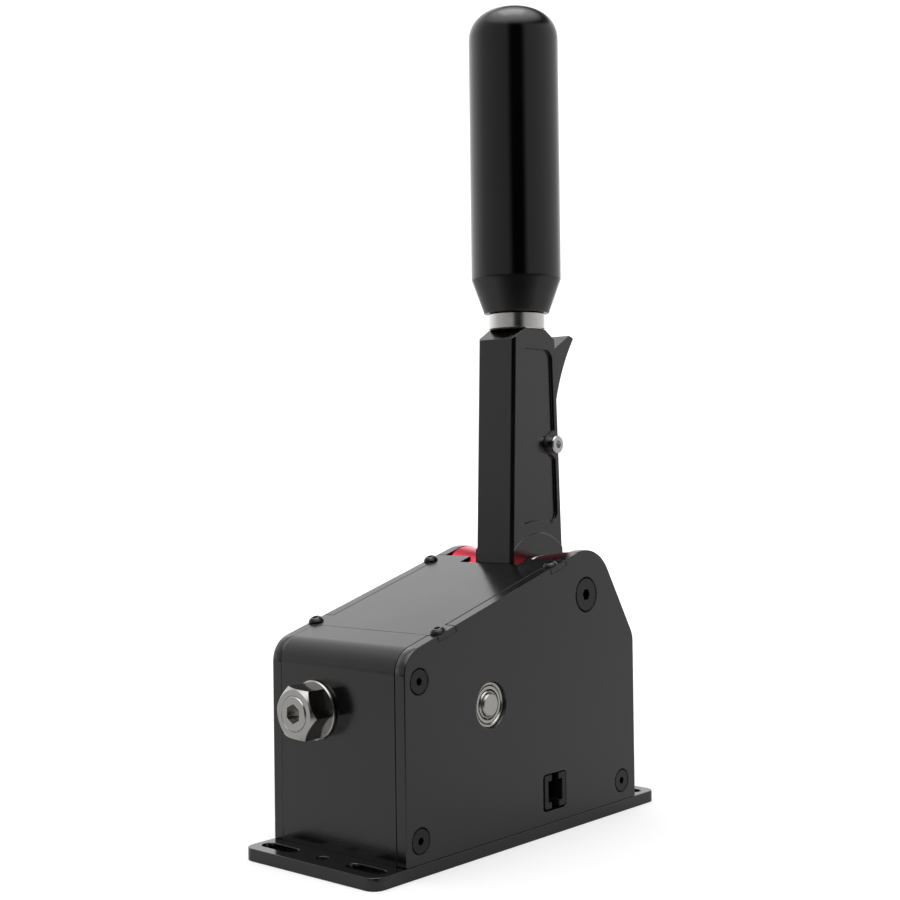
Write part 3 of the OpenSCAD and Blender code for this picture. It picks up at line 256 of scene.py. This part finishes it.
WELD_MM = 0.001
SHARP_DEGREES = 35.0
EDGE_SEGMENTS = 2


def soften(width, *names):
    """A real rounded edge, its width in millimetres, on every sharp edge of a node."""
    for name in names:
        weld = NODES[name].modifiers.new("weld", "WELD")
        weld.merge_threshold = WELD_MM * MM
        bevel = NODES[name].modifiers.new("edge", "BEVEL")
        bevel.width = width * MM
        bevel.segments = EDGE_SEGMENTS
        bevel.limit_method = "ANGLE"
        bevel.angle_limit = math.radians(SHARP_DEGREES)
        bevel.use_clamp_overlap = False
        bevel.loop_slide = False
        bevel.harden_normals = True


soften(0.25, "left_side_plate", "base_plate", "rear_wall", "top_cover", "catch")
soften(0.4, "right_side_plate")
soften(0.2, "lever")


# Camera, solved from the photo's edges: metres, degrees and millimetres

CAMERA_AT = Vector((-0.40889, -0.35360, 0.13654))
YAW, PITCH, ROLL = (math.radians(angle) for angle in (41.241, 0.396, -0.722))
LENS, SENSOR = 58.125, 36.0
CLIP_NEAR, CLIP_FAR = 0.01, 50.0


def make_camera():
    forward = Vector((math.cos(PITCH) * math.cos(YAW), math.cos(PITCH) * math.sin(YAW), math.sin(PITCH)))
    right = Vector((math.sin(YAW), -math.cos(YAW), 0.0))
    up = right.cross(forward)
    across = math.cos(ROLL) * right + math.sin(ROLL) * up
    upward = math.cos(ROLL) * up - math.sin(ROLL) * right
    data = bpy.data.cameras.new("photo_camera")
    data.lens, data.sensor_width = LENS, SENSOR
    data.clip_start, data.clip_end = CLIP_NEAR, CLIP_FAR
    camera = bpy.data.objects.new("photo_camera", data)
    turn = Matrix((across, upward, -forward)).transposed().to_4x4()
    camera.matrix_world = Matrix.Translation(CAMERA_AT) @ turn
    bpy.context.scene.collection.objects.link(camera)
    bpy.context.scene.camera = camera


# Floor: distances in metres

FLOOR_REACH = 6.0
FLOOR_GREY, FLOOR_DARK = (0.42, 0.42, 0.42), (0.03, 0.03, 0.03)
FLOOR_ROUGH = 0.9
FRONT_FROM, FRONT_TO = 0.15, 0.3
FRONT_GLOW = 0.4
WHITE_FROM, WHITE_TO = 0.15, 1.2
WHITE_NEAR, WHITE_FAR = 0.5, 0.9
WHITE = (1.0, 1.0, 1.0, 1.0)


def make_floor():
    """White to the camera, apart from the part's shadow. In reflections it is grey, and dark in front."""
    r = FLOOR_REACH
    mesh = bpy.data.meshes.new("floor")
    mesh.from_pydata([(-r, -r, 0), (r, -r, 0), (r, r, 0), (-r, r, 0)], [], [(0, 1, 2, 3)])
    floor = bpy.data.objects.new("floor", mesh)
    bpy.context.scene.collection.objects.link(floor)
    t = Tree(bpy.data.materials.new("pale_floor"))
    seen = t.add("ShaderNodeLightPath").outputs["Is Camera Ray"]
    away = t.vector_math("LENGTH", t.coords).outputs["Value"]
    x, y, _ = t.add("ShaderNodeSeparateXYZ", {0: t.coords}).outputs
    nearer = t.math("ADD", t.math("MULTIPLY", x, -math.cos(YAW)), t.math("MULTIPLY", y, -math.sin(YAW)))
    front = t.remap(nearer, FRONT_FROM, FRONT_TO, 0.0, 1.0)
    glow = t.math("ADD", t.remap(away, WHITE_FROM, WHITE_TO, WHITE_NEAR, WHITE_FAR),
                  t.math("MULTIPLY", front, FRONT_GLOW))
    t.finish(Base_Color=t.mix(front, FLOOR_GREY, FLOOR_DARK), Roughness=FLOOR_ROUGH,
             Emission_Color=WHITE, Emission_Strength=t.math("MULTIPLY", seen, glow))
    mesh.materials.append(t.owner)


# Studio: turns are in degrees to the left of the camera's heading, heights are sines of the elevation

SLOT_TURN, SLOT_OUTER, SLOT_INNER = 184.5, 25.0, 13.0
BACKDROP_TURN, BACKDROP_OUTER, BACKDROP_INNER = 20.0, 70.0, 20.0
BACKDROP_LOW, BACKDROP_HIGH = 0.47, 0.62
BACKDROP_LOW_LIGHT, BACKDROP_HIGH_LIGHT = 0.45, 0.3
WALL_TURN, WALL_BEHIND, WALL_AHEAD = -10.0, 0.35, 0.85
TOP_TURN, TOP_FROM, TOP_TO = 90.0, -0.17, 0.24
TOP_RIGHT, TOP_LEFT = 0.56, 0.77
TOP_BLUR, ABOVE_TOP = 0.05, 0.15
CEILING_TILT = math.radians(10.0)
CEILING_FROM, CEILING_TO, CEILING_LIGHT = 0.66, 0.99, 3.2


def make_world():
    """Pale walls, paler behind the part, a dark slot at the camera, dim upper walls and a bright ceiling."""
    t = Tree(bpy.data.worlds.new("studio"), "Generated")
    bpy.context.scene.world = t.owner
    x, y, z = t.add("ShaderNodeSeparateXYZ", {0: t.coords}).outputs
    level_part = t.math("SQRT", t.math("SUBTRACT", 1.0, t.math("MULTIPLY", z, z)))

    def towards(turn):
        """Cosine of the angle about the vertical between a direction and a turn."""
        azimuth = YAW + math.radians(turn)
        along = t.math("ADD", t.math("MULTIPLY", x, math.cos(azimuth)),
                       t.math("MULTIPLY", y, math.sin(azimuth)))
        return t.math("DIVIDE", along, level_part)

    def ramp(turn, outer, inner):
        """0 beyond the angle outer from a turn, 1 within the angle inner."""
        low, high = (math.cos(math.radians(angle)) for angle in (outer, inner))
        return t.remap(towards(turn), low, high, 0.0, 1.0)

    backdrop = t.math("MULTIPLY", ramp(BACKDROP_TURN, BACKDROP_OUTER, BACKDROP_INNER),
                      t.remap(z, BACKDROP_LOW, BACKDROP_HIGH, BACKDROP_LOW_LIGHT, BACKDROP_HIGH_LIGHT))
    walls = t.math("ADD", t.remap(towards(WALL_TURN), -1.0, 1.0, WALL_BEHIND, WALL_AHEAD), backdrop)
    top = t.remap(towards(TOP_TURN), TOP_FROM, TOP_TO, TOP_RIGHT, TOP_LEFT)
    over = t.math("SUBTRACT", z, top)
    walls = t.math("MULTIPLY", walls, t.remap(over, -TOP_BLUR, TOP_BLUR, 1.0, ABOVE_TOP))
    slot = ramp(SLOT_TURN, SLOT_OUTER, SLOT_INNER)
    walls = t.math("MULTIPLY", walls, t.math("SUBTRACT", 1.0, slot))
    lean = t.math("MULTIPLY", towards(180.0), t.math("MULTIPLY", level_part, math.sin(CEILING_TILT)))
    height = t.math("ADD", lean, t.math("MULTIPLY", z, math.cos(CEILING_TILT)))
    ceiling = t.remap(height, CEILING_FROM, CEILING_TO, 0.0, CEILING_LIGHT)
    seen = t.add("ShaderNodeLightPath").outputs["Is Camera Ray"]
    background = t.tree.nodes["Background"].inputs
    t.put(background["Strength"], t.math("MAXIMUM", t.math("ADD", walls, ceiling), seen))
    t.put(background["Color"], WHITE)


# Softbox over the part: metres, and watts per square metre and steradian

SOFTBOX_AT = (0.0, 0.0, 1.3)
SOFTBOX_SIDE = 0.6
SOFTBOX_RADIANCE = 1.5


def make_softbox():
    """A softbox that faces the floor, in line with the camera's heading."""
    data = bpy.data.lights.new("top_softbox", "AREA")
    data.shape = "RECTANGLE"
    data.size = data.size_y = SOFTBOX_SIDE
    data.energy = math.pi * SOFTBOX_RADIANCE * SOFTBOX_SIDE * SOFTBOX_SIDE
    lamp = bpy.data.objects.new("top_softbox", data)
    lamp.location = SOFTBOX_AT
    lamp.rotation_euler = (0.0, 0.0, YAW)
    bpy.context.scene.collection.objects.link(lamp)


make_camera()
make_floor()
make_world()
make_softbox()

bpy.context.scene.view_settings.view_transform = "Standard"
